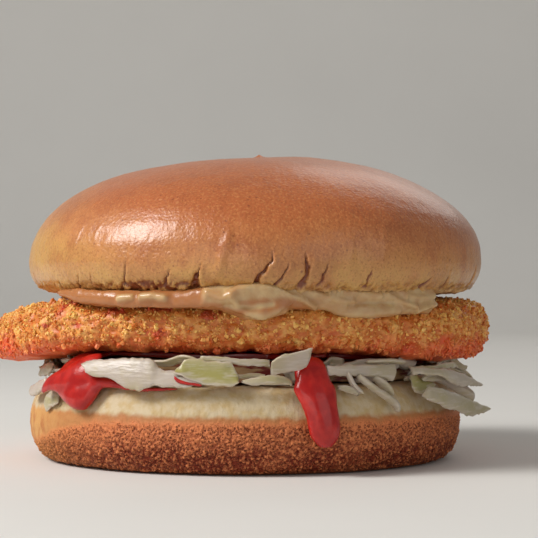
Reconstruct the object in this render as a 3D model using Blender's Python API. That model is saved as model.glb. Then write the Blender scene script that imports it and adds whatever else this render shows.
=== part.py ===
"""Chicken burger: a glazed bun round a breaded fillet, shredded cabbage, red sauce and mayonnaise.

Metres, +Z up. The origin is the centre of the heel's flat foot, +X runs along the fillet's length towards
its blunt end, and -Y is the front, where the sauces hang over the edge.
"""

import math

import bmesh
import bpy
from mathutils import Vector, noise

# Driving dimensions, in metres. Angles are in degrees, anticlockwise from +X as seen from above.
GAP = 0.0003  # clearance that a piece is cut back to where it touches another
LAYER_GAP = 0.0005  # clearance between faces that are built to follow each other

HEEL_RADIUS = 0.0542
HEEL_WIDEST_Z = 0.0090
HEEL_HEIGHT = 0.0203
HEEL_FOOT_RADIUS = 0.0488
HEEL_SHOULDER = (0.0090, 0.0130)  # half axes of the ellipse that its upper side follows

CROWN_CENTRE_X = 0.0021
CROWN_RADIUS = 0.0570
CROWN_CUT_Z = 0.0413
CROWN_WIDEST_Z = 0.0490
CROWN_TOP_Z = 0.0756
CROWN_RIM = (0.0070, 0.0080)  # half axes of the ellipse that its lower rim follows
CROWN_DOME_POWER = 2.2  # 2 is an ellipse, and more is squarer
CROWN_SKEW = 0.0012  # how far the dome's top leans towards +X
CROWN_NUB = (0.0017, 0.0009)  # radius and height of the pimple on top

FILLET_HALF_LENGTH = 0.0610
FILLET_HALF_DEPTH = 0.0500
FILLET_POWER = 2.0  # 2 is an ellipse, and more is squarer
# Its pointed end, a flat and a bulge: angle, width and extra radius.
FILLET_BULGES = ((180, 22, 0.0054), (-42, 16, -0.0022), (125, 20, 0.0020))
FILLET_FLOOR_Z = 0.0281  # underside at the middle
# How each end's underside hangs: start, end and drop.
FILLET_SAGS = ((-0.041, -0.055, 0.0036), (0.020, 0.044, 0.0030))
FILLET_CEILING_Z = 0.0395
FILLET_TIP_SLOPE = (-0.047, -0.069, 0.0062)  # the pointed end's top: start, end, drop
FILLET_EDGE = 0.0075
FILLET_LUMP = 0.0007

SAUCE_RADIUS = 0.0455
SAUCE_THICKNESS = 0.0012
SAUCE_EDGE = 0.0012

CABBAGE_RADIUS = 0.0490
CABBAGE_EDGE = 0.0030
CABBAGE_DROOP = 0.0055  # how far the strands beyond the heel's cut edge hang
CABBAGE_LOW_TUFT = (-18, 7, 0.0040)  # one that hangs lower: angle, width and extra drop
# Tufts that reach further out or stop short: angle, width and extra reach.
CABBAGE_TUFTS = (
    (6, 6, 0.0115),
    (-18, 6, 0.0135),
    (-40, 9, 0.0035),
    (-98, 14, 0.0015),
    (-118, 7, 0.0025),
    (-165, 9, 0.0050),
    (150, 10, 0.0040),
    (122, 8, 0.0050),
    (95, 9, 0.0025),
    (66, 8, 0.0055),
    (35, 9, 0.0035),
    (-71, 9, -0.0030),
    (-137, 9, -0.0030),
)

MAYO_RADIUS = 0.0475
MAYO_EDGE = 0.0026
MAYO_SHEET = 0.0012  # how far its underside hangs below the fillet's top before the fillet shapes it
MAYO_LIP = 0.0062  # extra reach of the front, where it is squeezed out
MAYO_LIP_ENDS = (-160, -27)  # angles between which it is squeezed out
MAYO_LIP_FADES = (30, 7)  # how gradually, in degrees, it starts and ends
MAYO_CORNER = (-38, 9, 0.0016)  # where the lip ends, it reaches further: angle, width and extra reach
MAYO_LIP_RISE = 0.0026  # how far the lip climbs the crown's rim
# Scallops of the hanging edge: angle, width and drop.
MAYO_SCALLOPS = (
    (-88, 6, 0.0028),
    (-57, 11, 0.0027),
    (-37, 8, 0.0018),
    (70, 14, 0.0014),
    (125, 12, 0.0012),
)

# Two runs of sauce that hang over the heel. Stations go from under the fillet down to the tip:
# distance from the axis, height, half width along the heel, half thickness.
LEFT_DRIP_ANGLE = -140.0
LEFT_DRIP_SLANT = 6.0  # degrees that the tip is turned from the top
LEFT_DRIP = (
    (0.0410, 0.0268, 0.0034, 0.0005),
    (0.0450, 0.0268, 0.0036, 0.0006),
    (0.0488, 0.0262, 0.0040, 0.0014),
    (0.0515, 0.0240, 0.0062, 0.0024),
    (0.0530, 0.0208, 0.0090, 0.0029),
    (0.0540, 0.0180, 0.0074, 0.0028),
    (0.0548, 0.0157, 0.0044, 0.0022),
    (0.0552, 0.0143, 0.0016, 0.0010),
)
RIGHT_DRIP_ANGLE = -72.8
RIGHT_DRIP_SLANT = 1.0
RIGHT_DRIP = (
    (0.0420, 0.0270, 0.0024, 0.0005),
    (0.0460, 0.0270, 0.0025, 0.0006),
    (0.0496, 0.0260, 0.0027, 0.0014),
    (0.0522, 0.0232, 0.0034, 0.0020),
    (0.0536, 0.0200, 0.0054, 0.0024),
    (0.0550, 0.0165, 0.0044, 0.0024),
    (0.0556, 0.0125, 0.0041, 0.0024),
    (0.0557, 0.0092, 0.0037, 0.0022),
    (0.0554, 0.0068, 0.0016, 0.0012),
)
DRIP_SIDES = 10
DRIP_ROUNDING = 1  # stations added between each pair, on a smooth curve

BREAD_SEGMENTS = 48
FILLING_SEGMENTS = 60
FLAT_RINGS = 3
FLAT_RADIUS = 0.0390  # the layers share their rings out to here, so that their faces match
RIM_STEPS = 5


def bell(angle, at, width):
    """1 at an angle, falling off to both sides over a width, all in degrees."""
    away = (angle - at + 180) % 360 - 180
    return math.exp(-((away / width) ** 2))


def bells(angle, places):
    """The sum of bells, each given as (angle, width, size)."""
    return sum(size * bell(angle, at, width) for at, width, size in places)


def ease(value):
    """0 below 0, 1 above 1, and smooth between."""
    t = min(max(value, 0.0), 1.0)
    return t * t * (3 - 2 * t)


def angle_of(x, y):
    return math.degrees(math.atan2(y, x))


def lumps(x, y, z, size, height):
    """Smooth unevenness of about that size across and up to about that height."""
    return height * noise.noise(Vector((x, y, z)) / size)


def superellipse(centre, half_axes, angle, power=2.0):
    """A point (radius, height) on a superellipse, at an angle in degrees from straight out."""
    turn = math.radians(angle)
    across = abs(math.cos(turn)) ** (2 / power)
    up = math.copysign(abs(math.sin(turn)) ** (2 / power), math.sin(turn))
    return centre[0] + half_axes[0] * across, centre[1] + half_axes[1] * up


def steps(start, end, count):
    return [start + (end - start) * k / count for k in range(count + 1)]


def material(name, color, roughness, coat=0.0):
    made = bpy.data.materials.new(name)
    made.use_nodes = True
    shader = made.node_tree.nodes["Principled BSDF"]
    shader.inputs["Base Color"].default_value = (*color, 1.0)
    shader.inputs["Roughness"].default_value = roughness
    shader.inputs["Metallic"].default_value = 0.0
    shader.inputs["Coat Weight"].default_value = coat
    return made


def add_piece(name, shape, finish):
    """Turns a bmesh into a named, smooth-shaded object."""
    bmesh.ops.recalc_face_normals(shape, faces=shape.faces)
    mesh = bpy.data.meshes.new(name)
    shape.to_mesh(mesh)
    shape.free()
    mesh.shade_smooth()
    mesh.set_sharp_from_angle(angle=math.radians(40))
    mesh.materials.append(finish)
    piece = bpy.data.objects.new(name, mesh)
    bpy.context.scene.collection.objects.link(piece)
    return piece


def turned(name, profile, segments, place, finish):
    """Spins a profile of (radius, height) points about Z, then moves each point with place()."""
    shape = bmesh.new()
    points = [shape.verts.new((radius, 0.0, height)) for radius, height in profile]
    edges = [shape.edges.new(pair) for pair in zip(points, points[1:])]
    bmesh.ops.spin(
        shape,
        geom=points + edges,
        cent=(0.0, 0.0, 0.0),
        axis=(0.0, 0.0, 1.0),
        angle=math.tau,
        steps=segments,
        use_merge=True,
    )
    bmesh.ops.remove_doubles(shape, verts=shape.verts, dist=1e-6)
    for point in shape.verts:
        point.co = place(point.co)
    return add_piece(name, shape, finish)


def layer(name, outline, floor, ceiling, edge, finish):
    """A flat-lying layer. outline(angle) is its radius, floor(x, y) and ceiling(x, y) are its faces, and
    its rim is round over the last stretch of its radius, edge."""
    flat = steps(0.0, 1.0, FLAT_RINGS)
    rim = [superellipse((2.0, 0.0), (1.0, 1.0), turn, 2.3) for turn in steps(-90, 90, RIM_STEPS)]
    profile = [(share, -1.0) for share in flat] + rim + [(share, 1.0) for share in flat[::-1]]

    def place(point):
        share = math.hypot(point.x, point.y)
        angle = angle_of(point.x, point.y)
        between = outline(angle) - edge - FLAT_RADIUS
        radius = FLAT_RADIUS * min(share, 1.0) + between * min(max(share - 1.0, 0.0), 1.0)
        radius += edge * max(share - 2.0, 0.0)
        x = radius * math.cos(math.radians(angle))
        y = radius * math.sin(math.radians(angle))
        low, high = floor(x, y), ceiling(x, y)
        return Vector((x, y, (low + high) / 2 + (high - low) / 2 * point.z))

    return turned(name, profile, FILLING_SEGMENTS, place, finish)


def boolean(piece, other, operation):
    change = piece.modifiers.new(f"{operation.title()} {other.name}", "BOOLEAN")
    change.operation = operation
    change.solver = "EXACT"
    change.object = other


def clear_of(piece, *neighbours):
    """Cuts a piece back so that it keeps GAP to neighbours that it touches."""
    for neighbour in neighbours:
        cutter = bpy.data.objects.new(f"{neighbour.name}_clearance_for_{piece.name}", neighbour.data)
        bpy.context.scene.collection.objects.link(cutter)
        for change in neighbour.modifiers:
            boolean(cutter, change.object, change.operation)
        swell = cutter.modifiers.new("Clearance", "DISPLACE")
        swell.mid_level = 0.0
        swell.strength = GAP
        cutter.hide_render = True
        cutter.display_type = "WIRE"
        boolean(piece, cutter, "DIFFERENCE")


def build_heel():
    """The bun's lower half: a flat foot, a rounded side and a flat cut face on top."""
    shoulder_centre = (HEEL_RADIUS - HEEL_SHOULDER[0], HEEL_WIDEST_Z)
    cut_angle = math.degrees(math.asin((HEEL_HEIGHT - HEEL_WIDEST_Z) / HEEL_SHOULDER[1]))
    foot_centre = (HEEL_FOOT_RADIUS, HEEL_WIDEST_Z)
    foot_axes = (HEEL_RADIUS - HEEL_FOOT_RADIUS, HEEL_WIDEST_Z)
    profile = [(0.0, 0.0), (HEEL_FOOT_RADIUS / 2, 0.0)]
    foot = [superellipse(foot_centre, foot_axes, turn) for turn in steps(-90, 0, 5)]
    shoulder = [superellipse(shoulder_centre, HEEL_SHOULDER, turn) for turn in steps(0, cut_angle, 5)]
    profile += foot + shoulder[1:]
    profile += [(profile[-1][0] / 2, HEEL_HEIGHT), (0.0, HEEL_HEIGHT)]

    def place(point):
        angle = math.atan2(point.y, point.x)
        swell = 1 + 0.004 * math.cos(2 * angle + 0.6) + 0.003 * math.cos(3 * angle + 2.0)
        return Vector((point.x * swell, point.y * swell, point.z))

    finish = material("Heel crust", (0.55, 0.27, 0.10), 0.75)
    return turned("bun_heel", profile, BREAD_SEGMENTS, place, finish)


def build_crown():
    """The bun's domed upper half, with a flat cut face below, a rolled rim and a nub on top."""
    rim_centre = (CROWN_RADIUS - CROWN_RIM[0], CROWN_WIDEST_Z)
    cut_angle = -math.degrees(math.asin((CROWN_WIDEST_Z - CROWN_CUT_Z) / CROWN_RIM[1]))
    dome_axes = (CROWN_RADIUS, CROWN_TOP_Z - CROWN_WIDEST_Z)
    rim = [superellipse(rim_centre, CROWN_RIM, turn) for turn in steps(cut_angle, 0, 4)]
    dome_centre = (0.0, CROWN_WIDEST_Z)
    dome = [superellipse(dome_centre, dome_axes, turn, CROWN_DOME_POWER) for turn in steps(0, 87, 11)]
    nub_radius, nub_height = CROWN_NUB
    nub_z = CROWN_TOP_Z + nub_height
    nub = [(nub_radius, CROWN_TOP_Z), (nub_radius / 3, nub_z), (0.0, nub_z)]
    profile = [(0.0, CROWN_CUT_Z), (rim[0][0] / 2, CROWN_CUT_Z)] + rim + dome[1:] + nub

    def place(point):
        angle = math.atan2(point.y, point.x)
        height = max(point.z - CROWN_WIDEST_Z, 0.0) / (CROWN_TOP_Z - CROWN_WIDEST_Z)
        swell = 1 + 0.004 * math.cos(2 * angle + 1.1) + 0.004 * math.cos(3 * angle + 0.4)
        lean = CROWN_CENTRE_X + CROWN_SKEW * height
        dip = lumps(point.x, point.y, 0.0, 0.030, 0.0009) * ease(4 * height)
        return Vector((point.x * swell + lean, point.y * swell, point.z + dip))

    finish = material("Crown crust", (0.50, 0.20, 0.08), 0.35, coat=0.3)
    return turned("bun_crown", profile, BREAD_SEGMENTS, place, finish)


def fillet_outline(angle):
    """The fillet's radius seen from above: an uneven oval with one pointed end."""
    turn = math.radians(angle)
    across = abs(math.cos(turn) / FILLET_HALF_LENGTH) ** FILLET_POWER
    along = abs(math.sin(turn) / FILLET_HALF_DEPTH) ** FILLET_POWER
    unevenness = 0.0008 * math.sin(5 * turn + 1.0) + 0.0006 * math.sin(9 * turn)
    return (across + along) ** (-1 / FILLET_POWER) + bells(angle, FILLET_BULGES) + unevenness


def drop(value, slope):
    """How far a face has dropped at a value, on a slope given as (start, end, drop)."""
    start, end, depth = slope
    return depth * ease((value - start) / (end - start))


def fillet_floor(x, y):
    """Its underside lies arched over the cabbage, with both ends hanging."""
    sag = sum(drop(x, slope) for slope in FILLET_SAGS)
    return FILLET_FLOOR_Z - sag + lumps(x, y, 1.0, 0.016, FILLET_LUMP)


def fillet_ceiling(x, y):
    """Its top, which slopes down towards the pointed end."""
    return FILLET_CEILING_Z - drop(x, FILLET_TIP_SLOPE) + lumps(x, y, 5.0, 0.014, FILLET_LUMP)


def build_fillet():
    """The breaded chicken fillet."""
    finish = material("Fried crumb", (0.62, 0.26, 0.08), 0.7)
    return layer("chicken_fillet", fillet_outline, fillet_floor, fillet_ceiling, FILLET_EDGE, finish)


def cabbage_outline(angle):
    return CABBAGE_RADIUS + bells(angle, CABBAGE_TUFTS) + 0.0005 * math.sin(math.radians(11 * angle))


def cabbage_droop(x, y):
    """The strands hang once they pass the heel's cut edge."""
    hang = CABBAGE_DROOP + bells(angle_of(x, y), (CABBAGE_LOW_TUFT,))
    return hang * ease((math.hypot(x, y) - 0.0470) / 0.0110)


def cabbage_ceiling(x, y):
    under_sauce = fillet_floor(x, y) - SAUCE_THICKNESS - 2 * LAYER_GAP
    return under_sauce - cabbage_droop(x, y) / 2


def cabbage_floor(x, y):
    return HEEL_HEIGHT + LAYER_GAP - cabbage_droop(x, y)


def build_cabbage(heel):
    """The bed of shredded cabbage, out to its uneven outline."""
    finish = material("Cabbage", (0.72, 0.68, 0.52), 0.4)
    bed = layer("cabbage", cabbage_outline, cabbage_floor, cabbage_ceiling, CABBAGE_EDGE, finish)
    clear_of(bed, heel)
    return bed


def catmull_rom(a, b, c, d, t):
    """The value at t between b and c, on a smooth curve through a, b, c and d."""
    square = (2 * a - 5 * b + 4 * c - d) * t**2
    cube = (3 * b - a - 3 * c + d) * t**3
    return 0.5 * (2 * b + (c - a) * t + square + cube)


def smooth_stations(stations):
    """The stations of a drip with more between them, on a smooth curve."""
    ends = [stations[0], *stations, stations[-1]]
    found = []
    for four in zip(ends, ends[1:], ends[2:], ends[3:]):
        for step in range(DRIP_ROUNDING + 1):
            t = step / (DRIP_ROUNDING + 1)
            found.append(tuple(catmull_rom(*values, t) for values in zip(*four)))
    return found + [stations[-1]]


def drip(name, angle, slant, stations, finish):
    """A run of sauce: rings across its path, each bent to the heel's curve, joined into one closed skin."""
    shape = bmesh.new()
    path = smooth_stations(stations)
    rings = []
    for index, (radius, height, half_width, half_thickness) in enumerate(path):
        before, after = path[max(index - 1, 0)], path[min(index + 1, len(path) - 1)]
        heading = Vector((after[0] - before[0], after[1] - before[1])).normalized()
        outward = Vector((-heading.y, heading.x))
        turn = math.radians(angle + slant * (index / (len(path) - 1)) ** 2)
        ring = []
        for side in range(DRIP_SIDES):
            around = math.tau * side / DRIP_SIDES
            out = half_thickness * math.sin(around)
            ring_radius = radius + out * outward.x
            ring_turn = turn + half_width * math.cos(around) / radius
            x, y = ring_radius * math.cos(ring_turn), ring_radius * math.sin(ring_turn)
            ring.append(shape.verts.new((x, y, height + out * outward.y)))
        rings.append(ring)
    for lower, upper in zip(rings, rings[1:]):
        for side in range(DRIP_SIDES):
            following = (side + 1) % DRIP_SIDES
            shape.faces.new((lower[side], lower[following], upper[following], upper[side]))
    shape.faces.new(rings[0])
    shape.faces.new(rings[-1])
    piece = add_piece(name, shape, finish)
    piece.hide_render = True
    piece.display_type = "WIRE"
    return piece


def build_red_sauce(heel, cabbage, fillet):
    """Red sauce between cabbage and fillet, with two runs that hang over the heel."""
    finish = material("Red sauce", (0.48, 0.03, 0.02), 0.15, coat=0.5)

    def floor(x, y):
        return cabbage_ceiling(x, y) + LAYER_GAP

    def ceiling(x, y):
        return fillet_floor(x, y) - LAYER_GAP

    def outline(angle):
        return SAUCE_RADIUS + 0.0010 * math.sin(math.radians(4 * angle + 40))

    sauce = layer("red_sauce", outline, floor, ceiling, SAUCE_EDGE, finish)
    boolean(sauce, drip("left_drip", LEFT_DRIP_ANGLE, LEFT_DRIP_SLANT, LEFT_DRIP, finish), "UNION")
    boolean(sauce, drip("right_drip", RIGHT_DRIP_ANGLE, RIGHT_DRIP_SLANT, RIGHT_DRIP, finish), "UNION")
    clear_of(sauce, heel, cabbage, fillet)
    return sauce


def mayo_lip(angle):
    """1 along the squeezed-out front, falling to 0 past both of its ends."""
    start, end = MAYO_LIP_ENDS
    return ease((angle - start) / MAYO_LIP_FADES[0]) * ease((end - angle) / MAYO_LIP_FADES[1])


def mayo_outline(angle):
    reach = MAYO_RADIUS + (MAYO_LIP + bells(angle, (MAYO_CORNER,))) * mayo_lip(angle)
    return reach + 0.0005 * math.sin(math.radians(7 * angle))


def mayo_hang(x, y):
    """How far the squeezed-out edge hangs down the fillet's side."""
    outside = ease((math.hypot(x, y) - 0.0420) / 0.0070)
    return outside * bells(angle_of(x, y), MAYO_SCALLOPS)


def build_mayo(fillet, crown):
    """Mayonnaise spread under the crown, its front edge squeezed out and hanging in scallops."""

    def floor(x, y):
        return fillet_ceiling(x, y) - MAYO_SHEET * ease(math.hypot(x, y) / 0.0420) - mayo_hang(x, y)

    def ceiling(x, y):
        lip = mayo_lip(angle_of(x, y)) * ease((math.hypot(x, y) - 0.0470) / 0.0060)
        return CROWN_CUT_Z - LAYER_GAP + MAYO_LIP_RISE * lip

    finish = material("Mayonnaise", (0.75, 0.66, 0.46), 0.25, coat=0.2)
    mayo = layer("mayonnaise", mayo_outline, floor, ceiling, MAYO_EDGE, finish)
    clear_of(mayo, fillet, crown)
    return mayo


def clear_scene():
    for thing in list(bpy.data.objects):
        bpy.data.objects.remove(thing)


def build():
    clear_scene()
    heel = build_heel()
    cabbage = build_cabbage(heel)
    fillet = build_fillet()
    build_red_sauce(heel, cabbage, fillet)
    crown = build_crown()
    build_mayo(fillet, crown)


build()
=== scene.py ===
"""The looks of the chicken burger: crusts, fried crumb, shredded cabbage and sauces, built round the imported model.

Shapes are worked out in millimetres and turned into metres when a mesh is made. Angles are in degrees,
anticlockwise from +X as seen from above, so -90 is the front. Colours are sRGB, from 0 to 255.
"""

import math

import bmesh
import bpy
import numpy as np
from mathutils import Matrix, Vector, noise
from mathutils.bvhtree import BVHTree


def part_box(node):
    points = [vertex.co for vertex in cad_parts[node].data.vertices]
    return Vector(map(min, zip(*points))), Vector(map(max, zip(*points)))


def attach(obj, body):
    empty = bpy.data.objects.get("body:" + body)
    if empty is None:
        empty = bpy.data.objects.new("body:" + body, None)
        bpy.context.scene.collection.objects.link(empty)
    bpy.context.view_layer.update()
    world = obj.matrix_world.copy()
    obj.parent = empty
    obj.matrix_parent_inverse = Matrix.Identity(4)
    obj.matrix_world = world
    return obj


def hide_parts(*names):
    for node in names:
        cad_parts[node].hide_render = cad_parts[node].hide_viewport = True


MM = 0.001
FAR = 200.0  # further out than any part of the burger

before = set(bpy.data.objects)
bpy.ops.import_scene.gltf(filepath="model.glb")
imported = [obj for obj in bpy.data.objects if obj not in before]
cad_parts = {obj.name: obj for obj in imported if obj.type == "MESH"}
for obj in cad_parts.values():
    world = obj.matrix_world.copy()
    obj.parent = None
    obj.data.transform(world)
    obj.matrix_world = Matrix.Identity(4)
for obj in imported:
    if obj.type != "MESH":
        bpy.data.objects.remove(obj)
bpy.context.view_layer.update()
rng = np.random.default_rng(11)


# ---------------------------------------------------------------- numbers


def ease(value):
    """0 below 0, 1 above 1, and smooth between."""
    t = np.clip(value, 0.0, 1.0)
    return t * t * (3 - 2 * t)


def bell(value, width):
    """1 at 0, falling off to both sides over a width."""
    return np.exp(-((value / width) ** 2))


def turned_by(angle, start):
    """How far an angle is turned from another one, from -180 to 180."""
    return (angle - start + 180) % 360 - 180


def angle_of(points):
    return np.degrees(np.arctan2(points[..., 1], points[..., 0]))


def radius_of(points):
    return np.hypot(points[..., 0], points[..., 1])


def unit(vectors):
    return vectors / np.maximum(np.linalg.norm(vectors, axis=-1, keepdims=True), 1e-9)


def rough(points, size, seed=0.0, octaves=1):
    """Smooth noise at each point, about -1 to 1, with lumps of about that size."""
    places = (points.reshape(-1, 3) / size + seed).tolist()
    if octaves == 1:
        values = [noise.noise(place) for place in places]
    else:
        values = [noise.fractal(place, 0.8, 2.1, octaves) for place in places]
    return np.array(values).reshape(points.shape[:-1])


def pebbles(points, size, seed=0.0):
    """Rounded lumps parted by thin grooves: 0 in a groove and up to 1 on a lump."""
    places = (points.reshape(-1, 3) / size + seed).tolist()
    gaps = [spread[1] - spread[0] for spread, _ in map(noise.voronoi, places)]
    return np.sqrt(np.clip(np.array(gaps).reshape(points.shape[:-1]), 0.0, 1.0))


def smooth_path(points, count):
    """Points evenly spread in parameter on a Catmull-Rom curve through the given rows."""
    points = np.asarray(points, float)
    padded = np.concatenate([2 * points[:1] - points[1:2], points, 2 * points[-1:] - points[-2:-1]])
    place = np.linspace(0, len(points) - 1, count)
    index = np.minimum(place.astype(int), len(points) - 2)
    t = (place - index)[:, None]
    a, b, c, d = (padded[index + k] for k in range(4))
    return 0.5 * (2 * b + (c - a) * t + (2 * a - 5 * b + 4 * c - d) * t**2 + (3 * b - a - 3 * c + d) * t**3)


# ---------------------------------------------------------------- meshes


def mesh_object(name, points, faces, finish, attributes=None):
    """A smooth-shaded object on the burger's one body, from points in millimetres."""
    mesh = bpy.data.meshes.new(name)
    mesh.from_pydata((points.reshape(-1, 3) * MM).tolist(), [], faces.tolist())
    mesh.validate()
    mesh.shade_smooth()
    mesh.materials.append(finish)
    for key, values in (attributes or {}).items():
        store(mesh, key, values)
    piece = bpy.data.objects.new(name, mesh)
    bpy.context.scene.collection.objects.link(piece)
    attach(piece, "root")
    return piece


def store(mesh, name, values):
    """Keeps a number for each point, for a material to read."""
    layer = mesh.attributes.new(name, "FLOAT", "POINT")
    layer.data.foreach_set("value", np.asarray(values, np.float32).ravel())


def cad_tree(node):
    """A CAD node as a tree for ray casts, in millimetres."""
    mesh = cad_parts[node].data
    points = [vertex.co / MM for vertex in mesh.vertices]
    return BVHTree.FromPolygons(points, [face.vertices[:] for face in mesh.polygons])


def latitudes(*spans):
    """Latitudes from pole to pole: each span goes on from the last one, as (its end, its rows)."""
    rows, start = [], -89.0
    for end, count in spans:
        rows.extend(np.linspace(start, end, count, endpoint=False))
        start = end
    return np.array([*rows, start])


def blur(values, width, axis, wraps):
    """A Gaussian blur of a width given in steps of the grid."""
    reach = int(3 * width)
    shares = [math.exp(-((k / width) ** 2) / 2) for k in range(-reach, reach + 1)]
    count = values.shape[axis]
    total = np.zeros_like(values)
    for k, share in zip(range(-reach, reach + 1), shares):
        places = np.arange(count) + k
        places = places % count if wraps else np.clip(places, 0, count - 1)
        total += share * np.take(values, places, axis=axis)
    return total / sum(shares)


def even_turns(count):
    """Angles spread evenly all round."""
    return np.arange(count) * 360.0 / count


def dense_turns(count, start, end, share):
    """Angles all round, with that share of them between a start and an end, and an eased change of spacing."""
    fine = np.linspace(-180.0, 180.0, 3601)
    within = ease((fine - start + 8) / 16) * ease((end + 8 - fine) / 16)
    weight = share / (end - start) * within + (1 - share) / (360 - end + start) * (1 - within)
    total = np.cumsum(weight)
    return np.interp(total[0] + (total[-1] - total[0]) * np.arange(count) / count, total, fine)


def wrap(node, centre, half_axes, rows, turns, facet, soften):
    """A fine grid over the outside of a CAD node: rows of points round a centre, one row for each latitude, and
    a column for each turn. The node is cast on even rays and smoothed first: facet is how wide its facets are
    round the axis, and soften how far it is blurred along a column, both in degrees."""
    tree = cad_tree(node)
    middle = Vector(centre)

    def ways(tilts, degrees):
        tilt = np.radians(tilts)[:, None]
        turn = np.radians(degrees)
        parts = (np.cos(tilt) * np.cos(turn), np.cos(tilt) * np.sin(turn), np.sin(tilt) + 0 * turn)
        return unit(np.stack(parts, axis=-1) * np.array(half_axes))

    tilts, casts = np.arange(-89.0, 90.0), np.arange(360.0)
    reach = []
    for way in ways(tilts, casts).reshape(-1, 3):
        reach.append(FAR - tree.ray_cast(middle + Vector(way) * FAR, -Vector(way))[3])
    reach = np.array(reach).reshape(len(tilts), len(casts))
    reach = blur(blur(reach, 0.6 * facet, 1, True), soften, 0, False)
    reach = np.array([np.interp(turns, casts, row, period=360) for row in reach])
    reach = np.array([np.interp(rows, tilts, column) for column in reach.T]).T
    return np.array(centre) + ways(rows, turns) * reach[..., None]


def grid_normals(points):
    """Unit normals, outwards, of a grid whose rows close on themselves."""
    along = np.roll(points, -1, axis=1) - np.roll(points, 1, axis=1)
    return unit(np.cross(along, np.gradient(points, axis=0)))


def grid_faces(rows, segments, first=0):
    """Quads between the rows of a grid whose rows close on themselves."""
    row, segment = np.meshgrid(np.arange(rows - 1), np.arange(segments), indexing="ij")
    right = (segment + 1) % segments
    corners = (row * segments + segment, row * segments + right, (row + 1) * segments + right)
    return first + np.stack([*corners, (row + 1) * segments + segment], axis=-1).reshape(-1, 4)


def grid_object(name, points, finish, slot, **attributes):
    """A closed object from a wrapped grid. Its first and last rows are drawn together at the poles."""
    rows, segments = points.shape[:2]
    points[0], points[-1] = points[0].mean(axis=0), points[-1].mean(axis=0)
    piece = mesh_object(name, points, grid_faces(rows, segments), finish, attributes)
    weld(piece)
    return piece


def weld(piece):
    """Joins the points that lie on one another, such as those at a grid's poles."""
    welding = piece.modifiers.new("Weld", "WELD")
    welding.merge_threshold = 1e-6
    apply_modifiers(piece)


def apply_modifiers(piece):
    depsgraph = bpy.context.evaluated_depsgraph_get()
    shaped = bpy.data.meshes.new_from_object(piece.evaluated_get(depsgraph))
    piece.modifiers.clear()
    piece.data = shaped


def points_of(piece):
    """An object's points in millimetres."""
    flat = np.empty(len(piece.data.vertices) * 3)
    piece.data.vertices.foreach_get("co", flat)
    return flat.reshape(-1, 3) / MM


def normals_of(piece):
    flat = np.empty(len(piece.data.vertices) * 3, np.float32)
    piece.data.vertex_normals.foreach_get("vector", flat)
    return flat.reshape(-1, 3).astype(float)


def move_points(piece, points):
    piece.data.vertices.foreach_set("co", (points * MM).ravel())
    piece.data.update()


# ---------------------------------------------------------------- materials


class Finish:
    """A node material, with short ways to feed its Principled shader. Sizes are in millimetres."""

    def __init__(self, name, **constants):
        self.material = bpy.data.materials.new(name)
        self.material.use_nodes = True
        self.tree = self.material.node_tree
        self.shader = self.tree.nodes["Principled BSDF"]
        self.place = self.add("TexCoord", {}).outputs["Object"]
        self.spread = self.add("SeparateXYZ", {0: self.place})
        self.z = self.spread.outputs["Z"]
        for key, value in constants.items():
            self.shader.inputs[key.replace("_", " ")].default_value = value

    def add(self, kind, inputs, **settings):
        made = self.tree.nodes.new("ShaderNode" + kind)
        for key, value in settings.items():
            setattr(made, key, value)
        for key, value in inputs.items():
            self.feed(made.inputs[key], value)
        return made

    def feed(self, socket, value):
        if isinstance(value, bpy.types.NodeSocket):
            self.tree.links.new(value, socket)
        else:
            socket.default_value = value

    def attribute(self, name):
        return self.add("Attribute", {}, attribute_name=name).outputs["Fac"]

    def noise(self, size, detail=2.0, stretch=(1, 1, 1)):
        """Noise of about 0 to 1 with lumps of about that size, drawn out along each axis by stretch."""
        place = self.place
        if stretch != (1, 1, 1):
            shrink = tuple(1 / share for share in stretch)
            place = self.add("VectorMath", {0: place, 1: shrink}, operation="MULTIPLY").outputs[0]
        return self.add("TexNoise", {"Vector": place, "Scale": 1 / (size * MM), "Detail": detail}).outputs["Fac"]

    def cells(self, size, feature="F1"):
        made = self.add("TexVoronoi", {"Vector": self.place, "Scale": 1 / (size * MM)}, feature=feature)
        return made.outputs["Distance"]

    def span(self, value, start, end, low=0.0, high=1.0):
        """A value's smooth rise from low to high between start and end."""
        inputs = {"Value": value, "From Min": start, "From Max": end, "To Min": low, "To Max": high}
        return self.add("MapRange", inputs, interpolation_type="SMOOTHSTEP").outputs["Result"]

    def math(self, operation, first, second):
        return self.add("Math", {0: first, 1: second}, operation=operation).outputs[0]

    def mix(self, share, first, second, blend="MIX"):
        """Mixes two colours, each a socket or an sRGB triple."""
        colours = [c if isinstance(c, bpy.types.NodeSocket) else linear(c) for c in (first, second)]
        inputs = {0: share, 6: colours[0], 7: colours[1]}
        return self.add("Mix", inputs, data_type="RGBA", blend_type=blend).outputs[2]

    def colour(self, value):
        self.feed(self.shader.inputs["Base Color"], value)

    def bump(self, *layers):
        """Bump from layers of (height socket, depth in millimetres)."""
        normal = None
        for height, depth in layers:
            inputs = {"Height": height, "Distance": depth * MM, "Strength": 1.0}
            if normal:
                inputs["Normal"] = normal
            normal = self.add("Bump", inputs).outputs[0]
        self.feed(self.shader.inputs["Normal"], normal)


def linear(colour):
    """An sRGB colour of 0 to 255 as a linear one with alpha."""
    shares = [value / 255 for value in colour]
    return (*[s / 12.92 if s <= 0.04045 else ((s + 0.055) / 1.055) ** 2.4 for s in shares], 1.0)


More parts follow.
